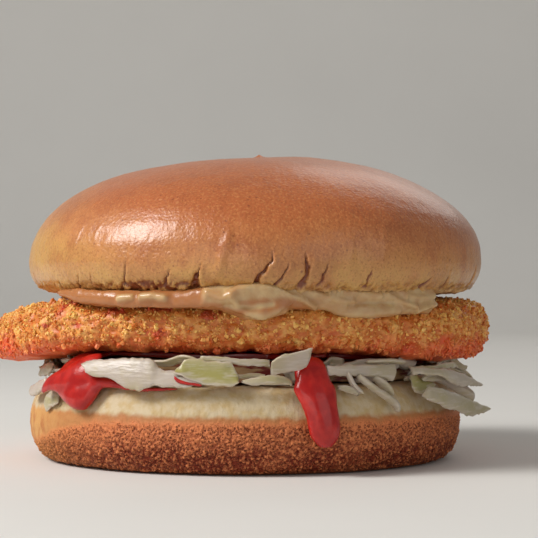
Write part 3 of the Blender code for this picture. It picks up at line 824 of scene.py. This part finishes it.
# The broad pieces of leaf that show at the front: columns of (angle, radius, low height, high height),
# then thickness, flare, bulge and green.
FRONT_LEAVES = (
    # Left end: a beige chip, a white chip and a green one that hangs.
    (((-166, 52.6, 20.8, 21.4), (-162.1, 52.6, 21.0, 23.4), (-157.6, 52.4, 21.2, 24.4),
      (-154.8, 52.2, 21.4, 24.7), (-152.9, 52.0, 23.1, 24.3)), 0.7, 0.6, 0.15, 0.35),
    (((-163.5, 55.0, 17.0, 18.5), (-160.1, 55.0, 16.1, 19.0), (-155.7, 54.8, 16.9, 20.3),
      (-151.9, 54.6, 18.0, 21.1), (-150.6, 54.5, 18.8, 20.0)), 0.9, 0.8, 0.15, 0.0),
    (((-152.6, 54.2, 15.1, 17.3), (-150.9, 54.2, 12.8, 17.7), (-148.6, 54.0, 14.1, 18.0),
      (-146.3, 54.0, 14.7, 18.1), (-144.9, 53.8, 15.2, 17.4)), 0.5, 0.7, 0.1, 0.5),
    # The big white leaf in two lobes.
    (((-133.3, 54.6, 25.2, 25.5), (-131.6, 54.6, 23.1, 26.0), (-129.4, 54.4, 22.3, 26.3),
      (-124.7, 54.0, 22.2, 26.6), (-120.5, 53.8, 20.4, 26.8), (-118.1, 53.7, 19.5, 26.9),
      (-115.8, 53.6, 19.3, 26.9), (-113.0, 53.4, 20.5, 26.7), (-111.9, 53.3, 20.5, 24.9),
      (-109.6, 53.2, 20.3, 24.1), (-106.2, 53.0, 20.4, 24.0), (-104.5, 52.9, 20.5, 21.9),
      (-102.4, 52.8, 20.7, 21.0)), 0.8, 1.6, 0.12, 0.0),
    # The cupped leaf with a pale border and a green middle, and its lower lobe.
    (((-107.3, 53.4, 23.8, 24.2), (-106.0, 53.2, 23.4, 24.9), (-104.9, 53.0, 23.2, 26.7),
      (-103.3, 52.9, 22.1, 26.9), (-100.8, 52.8, 21.5, 27.0), (-99.3, 52.8, 21.1, 26.4),
      (-96.3, 52.8, 20.8, 26.3), (-94.3, 52.7, 20.7, 26.4), (-93.0, 52.6, 20.7, 26.2),
      (-92.0, 52.5, 21.0, 24.6), (-90.9, 52.4, 21.5, 22.4)), 1.0, 1.8, -0.30, 0.9),
    (((-106.8, 53.4, 22.0, 22.6), (-105.2, 53.4, 21.5, 22.8), (-102.0, 53.2, 21.3, 22.3),
      (-98.0, 53.0, 20.9, 21.6)), 0.7, 0.6, 0.1, 0.0),
    # Two in the shade under the fillet, and a pointed one in front of its underside.
    (((-101.3, 50.4, 26.2, 27.5), (-97.4, 50.5, 26.0, 27.4), (-92.9, 50.5, 25.6, 27.0),
      (-88.2, 50.4, 25.2, 26.9), (-83.1, 50.2, 25.0, 26.7)), 0.7, 0.4, 0.1, 0.3),
    (((-90.4, 52.6, 21.6, 22.0), (-88.4, 52.6, 21.0, 22.5), (-85.4, 52.6, 21.0, 23.1),
      (-82.2, 52.5, 21.1, 23.2), (-79.7, 52.4, 21.1, 22.9), (-77.8, 52.3, 20.8, 22.1)), 0.7, 0.9, 0.2, 0.35),
    (((-83.3, 54.2, 23.3, 26.4), (-82.1, 54.2, 23.4, 27.4), (-79.9, 54.3, 23.8, 28.1),
      (-76.2, 54.4, 24.4, 28.8), (-74.7, 54.4, 24.7, 29.0), (-73.3, 54.4, 27.6, 29.5)), 1.0, -1.6, -0.12, 0.0),
    # The long one right of the sauce.
    (((-68.6, 52.6, 23.1, 25.2), (-65.2, 52.7, 22.8, 25.3), (-62.0, 52.8, 22.7, 25.3),
      (-54.6, 52.8, 22.3, 25.1), (-51.3, 52.8, 21.7, 25.1), (-49.2, 52.8, 21.0, 25.0),
      (-47.7, 52.7, 23.4, 24.9)), 0.9, 0.7, 0.15, 0.0),
    # Right end: a green one, a curled rim with its inside, and three that stick out.
    (((-43.8, 54.0, 19.9, 22.2), (-42.4, 54.0, 18.4, 22.9), (-40.3, 54.1, 17.5, 22.4),
      (-38.1, 54.2, 17.9, 21.6), (-35.8, 54.2, 18.8, 20.9), (-33.2, 54.2, 19.7, 20.2)), 0.8, 0.9, 0.15, 0.85),
    (((-40.4, 55.0, 20.9, 21.4), (-38.3, 55.0, 20.8, 22.4), (-34.8, 55.2, 20.5, 22.4),
      (-31.0, 55.2, 20.4, 22.1), (-27.0, 55.0, 20.6, 21.1)), 0.5, 0.6, 0.25, 0.1),
    (((-45.9, 55.7, 22.8, 24.4), (-41.0, 56.3, 22.5, 24.1), (-35.4, 56.9, 22.0, 23.7),
      (-31.8, 57.0, 20.1, 23.6), (-28.1, 57.3, 19.1, 23.0), (-23.3, 58.1, 18.9, 21.9),
      (-18.8, 58.9, 18.7, 20.6), (-14.5, 59.9, 18.7, 19.0)), 0.8, 1.2, 0.2, 0.1),
    (((-43.6, 58.0, 17.0, 17.5), (-41.9, 58.3, 16.4, 19.7), (-39.2, 58.5, 15.4, 19.6),
      (-35.5, 58.6, 14.2, 19.0), (-33.0, 58.8, 13.7, 18.3), (-28.8, 59.1, 12.6, 17.4),
      (-27.1, 59.2, 11.9, 17.0), (-23.6, 59.9, 11.8, 15.9), (-19.7, 60.8, 12.2, 14.7),
      (-15.9, 62.1, 13.0, 13.3)), 0.8, 1.4, 0.2, 0.25),
    (((-43.1, 55.0, 23.7, 24.5), (-36.0, 55.3, 23.4, 24.3), (-30.3, 55.4, 23.4, 24.8),
      (-24.8, 55.4, 23.3, 25.0), (-20.0, 55.2, 23.2, 23.5)), 0.7, 0.3, 0.1, 0.5),
)
# The narrow ones: stations of (angle, radius, height, half width), then thickness, lean, bulge and green.
FRONT_SHREDS = (
    (((-151.8, 51.9, 22.9, 0.25), (-149.0, 52.2, 23.0, 0.4), (-146.3, 52.2, 23.1, 0.3)), 0.6, 30, 0.1, 0.0),
    (((-148.0, 50.0, 25.3, 0.4), (-143.0, 50.2, 25.4, 0.5)), 0.6, 20, 0.1, 0.3),
    (((-66.2, 53.2, 20.2, 0.5), (-63.4, 53.6, 19.8, 0.8), (-60.4, 53.8, 18.6, 0.6)), 0.7, 20, 0.2, 0.3),
    (((-63.6, 53.4, 23.6, 0.7), (-63.0, 54.0, 21.9, 0.75), (-62.0, 54.3, 20.3, 0.8), (-59.7, 54.4, 18.6, 0.5)),
     0.9, 75, 0.2, 0.0),
    (((-60.6, 53.4, 23.0, 0.8), (-58.3, 54.2, 21.0, 0.9), (-55.6, 54.8, 19.2, 0.9), (-52.4, 55.0, 17.4, 0.9),
      (-50.2, 55.2, 15.7, 0.95), (-49.7, 55.2, 14.2, 0.7)), 1.0, 55, 0.25, 0.0),
    (((-55.4, 53.0, 22.3, 0.7), (-53.2, 53.8, 20.7, 1.2), (-51.4, 54.0, 19.0, 1.2), (-50.4, 54.0, 17.9, 0.6)),
     0.8, 45, 0.2, 0.05),
    (((-40.6, 55.2, 21.3, 0.3), (-38.2, 55.6, 22.3, 0.42), (-34.6, 55.8, 22.4, 0.42), (-31.0, 55.8, 22.0, 0.4),
      (-27.0, 55.4, 20.9, 0.3)), 0.9, 60, 0.1, 0.0),
    (((-57.0, 51.6, 25.8, 0.5), (-50.0, 52.0, 25.9, 0.7), (-44.0, 52.6, 25.4, 0.6)), 0.7, 60, 0.2, 0.3),
)
FRONT = (-165, -15)  # the stretch of angles that those fill
SIDE_SHREDS = 84
INNER_SHREDS = 90
LEAF_SHARE = 0.3  # share of the side shreds that are broad pieces of leaf
HEAP_CLEARANCE = 0.4  # from the heel below and the fillet above


def cabbage_reach(angles):
    """How far out the CAD's heap of cabbage reaches at each angle."""
    tree = cad_tree("cabbage")
    found = []
    for turn in np.radians(angles):
        way = Vector((math.cos(turn), math.sin(turn), 0.0))
        hits = [tree.ray_cast(way * FAR + Vector((0, 0, height)), -way)[3] for height in (18, 20, 22, 24)]
        found.append(max(FAR - hit for hit in hits if hit))
    return np.array(found)


def side_leaf(sheets, start):
    """A broad piece of leaf beyond the front, from a starting angle."""
    turns = start + np.linspace(0, rng.choice([-1, 1]) * rng.uniform(4, 13), 6)
    radius = cabbage_reach(turns) - rng.uniform(0.3, 2.5)
    hang = np.maximum(radius - 51.5, 0.0) * rng.uniform(0.4, 0.9)
    middle = rng.uniform(22.6, 24.4) - hang + np.linspace(0, rng.normal(0, 1.2), 6)
    half = rng.uniform(1.3, 3.0) * np.array([0.25, 0.9, 1.0, 1.0, 0.8, 0.2]) * rng.uniform(0.8, 1.15, 6)
    columns = np.column_stack([turns, radius, middle - half, middle + half])
    green = max(0.0, rng.normal(0.25, 0.4))
    sheets.plate(columns, rng.uniform(0.6, 0.9), rng.normal(0.8, 0.9), rng.normal(0.05, 0.25), green)


def side_shred(sheets, start):
    """A narrow shred beyond the front, from a starting angle."""
    turns = start + np.linspace(0, rng.choice([-1, 1]) * rng.uniform(4, 22), 5)
    radius = cabbage_reach(turns) - rng.uniform(0.2, 3.5) + rng.normal(0, 0.5, 5)
    hang = np.maximum(radius - 51.0, 0.0) * rng.uniform(0.5, 0.95)
    height = rng.uniform(21.8, 26.0) + rng.normal(0, 0.7, 5) - hang
    half = rng.uniform(0.5, 1.5) * np.array([0.5, 1.0, 1.0, 0.9, 0.4])
    stations = np.column_stack([turns, radius, height, half])
    green = max(0.0, rng.normal(0.15, 0.3))
    sheets.shred(stations, rng.uniform(0.6, 1.0), rng.uniform(-30, 75), rng.normal(0, 0.25), green)


def inner_shred(sheets):
    """A shred within the heap."""
    turns = rng.uniform(0, 360) + np.linspace(0, rng.uniform(6, 20), 4)
    radius = rng.uniform(45.5, 49.5) + rng.normal(0, 0.6, 4)
    half = rng.uniform(0.5, 1.6) * np.array([0.5, 1.0, 1.0, 0.5])
    height = rng.uniform(21.2, 26.0) + rng.normal(0, 0.5, 4)
    stations = np.column_stack([turns, radius, height, half])
    sheets.shred(stations, 0.7, rng.uniform(-20, 80), rng.normal(0, 0.2), rng.uniform(0, 0.5))


def cabbage():
    """Pieces of leaf all round over a small core: those of the front given one by one, the others spread at random.
    """
    sheets = Sheets()
    for columns, thickness, flare, bulge, green in FRONT_LEAVES:
        sheets.plate(columns, 0.85 * thickness, flare, bulge, green, 0.35)
    for stations, thickness, lean, bulge, green in FRONT_SHREDS:
        sheets.shred(stations, thickness, lean, bulge, green)
    for index in range(SIDE_SHREDS):
        start = FRONT[1] + (index + rng.uniform(0, 1)) * (360 + FRONT[0] - FRONT[1]) / SIDE_SHREDS
        (side_leaf if rng.uniform() < LEAF_SHARE else side_shred)(sheets, start)
    for _ in range(INNER_SHREDS):
        inner_shred(sheets)
    keep_between(sheets.points, "bun_heel", "chicken_fillet")
    return sheets.build("cabbage_shreds", leaf_finish(), "cabbage")


def keep_between(groups, lower, upper):
    """Lifts points off the node below and lowers them clear of the node above."""
    below, above = cad_tree(lower), cad_tree(upper)
    for points in groups:
        for point in points:
            place = Vector((point[0], point[1], 0.0))
            floor = below.ray_cast(place + Vector((0, 0, 40)), Vector((0, 0, -1)))[0]
            if floor and point[2] < floor.z + HEAP_CLEARANCE:
                point[2] = floor.z + HEAP_CLEARANCE
            ceiling = above.ray_cast(place, Vector((0, 0, 1)))[0]
            if ceiling and ceiling.z - HEAP_CLEARANCE < point[2]:
                point[2] = ceiling.z - HEAP_CLEARANCE


def cabbage_core():
    """What fills the bed behind the shreds, stained by the sauce above it and painted dark as shade between them."""
    rows = latitudes((-40, 6), (40, 18), (88.5, 6))
    points = wrap("cabbage", (0.0, 0.0, 23.5), (48, 48, 3), rows, even_turns(180), 6.0, 3.0)
    shrink = np.minimum(1.0, 45.5 / radius_of(points))[..., None]
    points = points * np.concatenate([shrink, shrink, np.ones_like(shrink)], axis=-1)
    outwards = grid_normals(points)
    points = points + outwards * (0.5 * rough(points, 2.0, 1.0, 2))[..., None]
    piece = grid_object("cabbage_core", points, core_finish(), "cabbage")
    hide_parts("cabbage")
    return piece


# ---------------------------------------------------------------- sauces


HIDDEN_RADIUS = 45.0  # inside this the layers of sauce don't show
HIDDEN_SHARE = 0.1  # share of their faces that is kept there


def thin_out(piece):
    """Drops most of the faces near the axis, where nothing shows."""
    hidden = np.flatnonzero(radius_of(points_of(piece)) < HIDDEN_RADIUS)
    inner = piece.vertex_groups.new(name="inner")
    inner.add(hidden.tolist(), 1.0, "REPLACE")
    fewer = piece.modifiers.new("Decimate", "DECIMATE")
    fewer.vertex_group = "inner"
    fewer.ratio = 1 - (1 - HIDDEN_SHARE) * len(hidden) / len(piece.data.vertices)
    apply_modifiers(piece)
    piece.vertex_groups.clear()


def remeshed(node, name, finish, voxel, smoothing, more=None):
    """A CAD node as a finer, evenly meshed and smoothed object that stands for it, with more grown into it."""
    piece = bpy.data.objects.new(name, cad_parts[node].data.copy())
    bpy.context.scene.collection.objects.link(piece)
    if more:
        shape = bmesh.new()
        shape.from_mesh(piece.data)
        shape.from_mesh(more.data)
        shape.to_mesh(piece.data)
        shape.free()
        bpy.data.objects.remove(more)
    remesh = piece.modifiers.new("Remesh", "REMESH")
    remesh.mode = "VOXEL"
    remesh.voxel_size = voxel * MM
    smooth = piece.modifiers.new("Smooth", "SMOOTH")
    smooth.factor = 0.5
    smooth.iterations = smoothing
    apply_modifiers(piece)
    thin_out(piece)
    piece.data.shade_smooth()
    piece.data.materials.clear()
    piece.data.materials.append(finish)
    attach(piece, "root")
    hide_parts(node)
    return piece


# Folds of the mayonnaise's lip: path of (angle, height), half width and height.
MAYO_FOLDS = (
    (((-121.5, 40.5), (-118.0, 40.8)), 0.8, 0.9),
    (((-115.2, 40.8), (-112.0, 41.0), (-109.0, 40.6)), 0.8, 1.0),
    (((-98.5, 41.6), (-94.5, 40.6), (-91.5, 42.2), (-86.0, 42.8), (-82.0, 42.2)), 1.1, 1.5),
    (((-92.5, 40.6), (-91.4, 39.2)), 0.8, 1.0),
    (((-94.0, 39.0), (-88.0, 38.6), (-83.0, 39.4)), 0.7, -0.5),
    (((-89.0, 37.0), (-84.5, 36.4), (-80.0, 37.6)), 1.0, 0.6),
    (((-80.5, 41.6), (-75.5, 40.4), (-72.0, 38.8)), 0.6, 1.0),
    (((-72.5, 41.8), (-67.5, 40.4), (-61.5, 39.6)), 0.55, 1.1),
    (((-68.0, 42.0), (-60.5, 41.4), (-54.0, 41.0)), 0.6, 1.1),
    (((-63.0, 39.0), (-56.5, 39.6), (-50.0, 39.2)), 0.5, -0.7),
    (((-66.0, 37.0), (-57.0, 37.2), (-48.0, 37.8)), 0.9, 1.0),
    (((-52.0, 41.2), (-47.5, 39.6), (-43.0, 38.6)), 0.55, 1.1),
    (((-46.0, 41.0), (-42.0, 40.6), (-36.0, 41.0)), 0.6, 0.9),
    (((-42.0, 37.8), (-37.8, 38.8), (-33.0, 39.2)), 0.7, 1.1),
    (((-31.8, 41.0), (-31.2, 36.0)), 0.7, 0.9),
)


LIP_CLIMB = 1.5  # how much further the lip is pressed up against the crown's rim
# The film that hangs from the crown's rim over the fillet: columns of (angle, radius, low height, high height).
MAYO_FILM = (
    (-148.5, 52.4, 41.2, 41.9), (-145.5, 52.9, 40.7, 42.3), (-141.0, 53.3, 40.1, 42.6), (-137.6, 53.4, 39.4, 42.7),
    (-134.4, 53.5, 38.9, 42.7), (-128.0, 53.4, 38.9, 42.6), (-120.0, 53.3, 37.9, 42.5), (-114.4, 53.3, 38.1, 42.4),
    (-107.4, 53.3, 37.9, 42.5), (-100.0, 53.4, 38.2, 42.6), (-95.6, 53.6, 38.3, 42.6), (-90.0, 53.8, 37.1, 42.4),
    (-85.2, 54.0, 35.8, 42.0), (-81.3, 53.8, 37.5, 41.4), (-77.5, 53.4, 39.2, 40.6),
)


def mayo():
    """The mayonnaise, its lip folded and smeared where it was squeezed out."""
    finish = mayo_finish()
    film = Sheets()
    film.plate(MAYO_FILM, 1.3, 1.2, domed=True)
    grown = film.build("film", finish, "mayonnaise")
    piece = remeshed("mayonnaise", "mayonnaise_spread", finish, 0.4, 12, grown)
    points, outwards = points_of(piece), normals_of(piece)
    outer = ease((radius_of(points) - 49.0) / 2.0)
    front = ease((angle_of(points) + 108) / 14) * ease((-20 - angle_of(points)) / 10)
    climb = front * ease((radius_of(points) - 50.0) / 2.5) * ease((points[:, 2] - 39.2) / 2.4)
    points[:, 2] += LIP_CLIMB * climb * (1 + 0.4 * rough(points, 3.0, 7.0))
    # the left part lies under the crown's rim: painted shade there
    left = ease((-96 - angle_of(points)) / 5)
    lift = outer * (0.25 * rough(points, 5.0, 2.0, 2) + 0.12 * rough(points, 1.6, 4.0))
    thick = np.zeros(len(points))
    for path, width, height in MAYO_FOLDS:
        away, share = on_path(points, 0.0, path, 0.3)
        lift += outer * height * bell(away, width)
        thick = np.maximum(thick, bell(away, width))
    move_points(piece, points + outwards * lift[:, None])
    # Brownish colour: on the left and along the lower edge, partly a thin film over the crumb and partly painted
    # shade under the crown's rim, with the folds that stand out kept cream, and a little everywhere as painted
    # shade.
    patchy = 0.25 * rough(points, 2.4, 9.0)
    edge = 40.8 + 0.8 * ease((angle_of(points) + 92) / 6) + 2 * patchy
    low = ease((edge - points[:, 2]) / 1.6) * ease((-64 - angle_of(points)) / 14)
    bare = np.clip(1.15 - 1.1 * thick + patchy, 0.0, 1.0)
    store(piece.data, "thin", np.maximum(np.maximum(left, 0.95 * low) * bare, 0.25 + patchy))
    return piece


# Sauce that spreads beside the runs: columns of (angle, radius, low height, high height), then thickness, flare.
SMEARS = (
    (((-149.4, 55.0, 17.8, 19.4), (-147.6, 55.0, 17.1, 21.0), (-145.9, 54.8, 17.8, 22.2),
      (-143.2, 54.6, 18.2, 23.2), (-140.3, 54.2, 18.0, 24.8), (-137.6, 53.7, 18.1, 26.2),
      (-135.0, 53.2, 18.7, 27.4), (-132.6, 52.7, 19.3, 27.8), (-129.6, 52.0, 20.5, 27.6)), 2.0, 4.0),
    (((-136.0, 53.6, 18.8, 23.4), (-131.7, 53.0, 19.2, 22.8), (-129.9, 52.5, 19.3, 22.5),
      (-127.5, 52.0, 19.4, 22.3), (-125.6, 51.6, 19.4, 22.1), (-123.8, 51.4, 19.2, 21.5),
      (-121.4, 51.4, 18.9, 20.8), (-117.0, 51.4, 18.6, 20.0), (-111.0, 51.3, 19.0, 20.1),
      (-105.5, 51.2, 19.4, 20.2)), 1.3, 0.8),
    (((-77.8, 52.4, 18.8, 25.0), (-77.0, 52.7, 14.6, 26.2), (-75.4, 53.0, 10.2, 26.8),
      (-72.8, 53.2, 8.6, 27.4), (-70.2, 53.0, 10.6, 27.4), (-68.6, 52.8, 15.0, 26.4),
      (-67.4, 52.4, 19.6, 23.6)), 2.0, 4.8),
)
LEAF_SAUCE = ((-107.2, 53.6, 22.5, 23.2), (-106.2, 53.8, 21.3, 22.3), (-103.4, 53.8, 21.0, 21.5),
              (-99.5, 53.6, 20.6, 21.1))  # a thread of it along the cupped leaf


RIM_HEIGHT = 26.4  # above this the sauce is the layer under the fillet
RIM_RADIUS = 42.0  # how far out that layer reaches between the runs
RUNS = ((-139.0, 12.0), (-72.4, 6.5))  # where the runs leave it: their angles and half widths
SHADED_RADIUS = 50.0  # inside this the sauce is thin, and painted darker as painted shade under the fillet and between the shreds
LEAN = (-72.4, 11.0, 1.5)  # the right run leans: its angle, reach to each side, and its foot's swing


def red_sauce():
    """The sauce's layer with its two runs, and what spreads beside them."""
    finish = sauce_finish()
    smears = Sheets()
    for columns, thickness, flare in SMEARS:
        smears.plate(columns, thickness, flare, domed=True)
    grown = smears.build("smears", finish, "red_sauce")
    thread = Sheets()
    thread.plate(LEAF_SAUCE, 0.5, 0.2, domed=True)
    thread.build("red_sauce_thread", finish, "red_sauce")
    piece = remeshed("red_sauce", "red_sauce_runs", finish, 0.4, 24, grown)
    points = points_of(piece)
    radius = radius_of(points)
    drawn_in = ease((points[:, 2] - RIM_HEIGHT + 0.6) / 0.6)
    for angle, width in RUNS:
        drawn_in *= ease((np.abs(turned_by(angle_of(points), angle)) - width) / 4.0)
    held = np.minimum(radius, RIM_RADIUS + 0.1 * (radius - RIM_RADIUS))
    points[:, :2] *= (1 + drawn_in * (held / np.maximum(radius, 1.0) - 1))[:, None]
    near = ease((LEAN[1] - np.abs(turned_by(angle_of(points), LEAN[0]))) / 3.0) * (points[:, 1] < 0)
    swing = np.radians(LEAN[2] * near * ease((23.0 - points[:, 2]) / 12.0))
    across, back = points[:, 0].copy(), points[:, 1].copy()
    points[:, 0] = across * np.cos(swing) - back * np.sin(swing)
    points[:, 1] = across * np.sin(swing) + back * np.cos(swing)
    move_points(piece, points)
    # painted shade: the sauce inside that radius is marked for a darker red
    store(piece.data, "inner_shade", ease((SHADED_RADIUS - radius_of(points)) / 3.0))


# ---------------------------------------------------------------- studio


def area_light(name, position, target, size, power, colour):
    made = bpy.data.lights.new(name, "AREA")
    made.shape = "DISK"
    made.size = size
    made.energy = power
    made.color = colour
    lamp = bpy.data.objects.new(name, made)
    lamp.location = position
    lamp.rotation_euler = (Vector(target) - Vector(position)).to_track_quat("-Z", "Y").to_euler()
    bpy.context.scene.collection.objects.link(lamp)


def studio():
    """A pale floor that curves up behind, soft lights, and the camera level with the burger's upper half."""
    scene = bpy.context.scene
    scene.view_settings.view_transform = "Standard"
    paper = Finish("Pale floor", Roughness=0.8)
    paper.colour(paper.mix(paper.noise(60, 2), (222, 220, 216), (226, 224, 220)))
    width, depth, bend, height = 3.0, 0.9, 0.3, 1.6
    profile = [(-1.6, 0.0), (depth, 0.0)]
    for k in range(1, 13):
        turn = math.radians(90 * k / 12)
        profile.append((depth + bend * math.sin(turn), bend * (1 - math.cos(turn))))
    profile.append((depth + bend, height))
    mesh = bpy.data.meshes.new("floor")
    points = [(side * width / 2, y, z) for y, z in profile for side in (-1, 1)]
    mesh.from_pydata(points, [], [(2 * k, 2 * k + 1, 2 * k + 3, 2 * k + 2) for k in range(len(profile) - 1)])
    mesh.shade_smooth()
    mesh.materials.append(paper.material)
    floor = bpy.data.objects.new("floor", mesh)
    scene.collection.objects.link(floor)

    world = bpy.data.worlds.new("Soft room")
    world.use_nodes = True
    world.node_tree.nodes["Background"].inputs["Color"].default_value = (1.0, 0.985, 0.96, 1.0)
    world.node_tree.nodes["Background"].inputs["Strength"].default_value = 0.22
    scene.world = world

    middle = (0.0, 0.0, 0.04)
    area_light("key", (-0.66, -0.26, 0.62), middle, 0.52, 5.1, (1.0, 0.98, 0.95))
    area_light("key centre", (-0.66, -0.26, 0.62), middle, 0.26, 3.5, (1.0, 0.98, 0.95))
    area_light("fill", (0.75, -0.85, 0.35), middle, 0.9, 1.5, (1.0, 0.98, 0.95))
    area_light("front", (-0.35, -1.1, 0.12), middle, 0.8, 1.9, (1.0, 0.98, 0.95))
    area_light("back", (0.35, 0.75, 0.6), middle, 0.6, 1.0, (1.0, 0.97, 0.92))

    camera = bpy.data.cameras.new("camera")
    camera.lens = 126.8
    camera.sensor_width = 36.0
    camera.clip_start = 0.01
    eye = bpy.data.objects.new("camera", camera)
    eye.location = (5.85 * MM, -482 * MM, 47.3 * MM)
    eye.rotation_euler = (math.radians(90), 0.0, 0.0)
    scene.collection.objects.link(eye)
    scene.camera = eye


def build():
    crown()
    heel()
    cabbage_core()
    cabbage()
    crumb = crumb_finish()
    points, outwards = fillet(crumb)
    crumbs(points, outwards, crumb)
    red_sauce()
    mayo()
    studio()


build()
